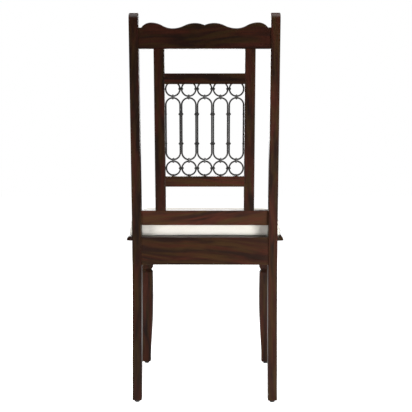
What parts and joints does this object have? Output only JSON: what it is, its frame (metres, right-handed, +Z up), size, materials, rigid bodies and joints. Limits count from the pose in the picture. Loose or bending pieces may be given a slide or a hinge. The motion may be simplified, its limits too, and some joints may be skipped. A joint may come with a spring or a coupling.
{
  "type": "dining chair",
  "caption": "Tall-back hardwood dining chair with a scalloped crest rail, an iron ring-and-loop grille set in the back and a loose padded seat cushion.",
  "frame": {"origin": "on the floor, under the middle of the chair's bounding box", "axes": "+Z up, -Y toward the front, the way the sitter faces, +X toward the sitter's left"},
  "size_m": [0.464, 0.5144, 1.058],
  "materials": {
    "frame_wood": "satin",
    "inner_wood": "matte",
    "grille_iron": "matte",
    "cushion_fabric": "matte",
    "glide_nylon": "matte",
    "fixing_steel": "satin"
  },
  "bodies": {
    "frame": {"back_stile_left": "frame_wood", "back_stile_right": "frame_wood", "cleat_screws": "fixing_steel", "corner_block_front_left": "inner_wood", "corner_block_front_right": "inner_wood", "corner_block_rear_left": "inner_wood", "corner_block_rear_right": "inner_wood", "corner_block_screws": "fixing_steel", "crest_rail": "frame_wood", "front_apron": "frame_wood", "front_glides": "glide_nylon", "front_leg_left": "frame_wood", "front_leg_right": "frame_wood", "grille_loop_1": "grille_iron", "grille_loop_2": "grille_iron", "grille_loop_3": "grille_iron", "grille_loop_4": "grille_iron", "grille_loop_5": "grille_iron", "grille_pins": "fixing_steel", "grille_rings_bottom": "grille_iron", "grille_rings_top": "grille_iron", "link_collars_bottom": "grille_iron", "link_collars_top": "grille_iron", "loop_collars_lower": "grille_iron", "loop_collars_upper": "grille_iron", "lower_back_rail": "frame_wood", "lower_mid_rail": "frame_wood", "rear_apron": "frame_wood", "rear_cleat": "inner_wood", "rear_glides": "glide_nylon", "rear_post_left": "frame_wood", "rear_post_right": "frame_wood", "ring_collars_bottom": "grille_iron", "ring_collars_top": "grille_iron", "seat_board": "frame_wood", "seat_board_screws": "fixing_steel", "side_apron_left": "frame_wood", "side_apron_right": "frame_wood", "upper_mid_rail": "frame_wood"},
    "cushion": {"seat_cushion": "cushion_fabric"}
  },
  "joints": [
    {"name": "cushion_lift", "type": "slide", "parent": "frame", "child": "cushion", "axis": [0, 0, 1], "range_m": [0, 0.12]}
  ]
}
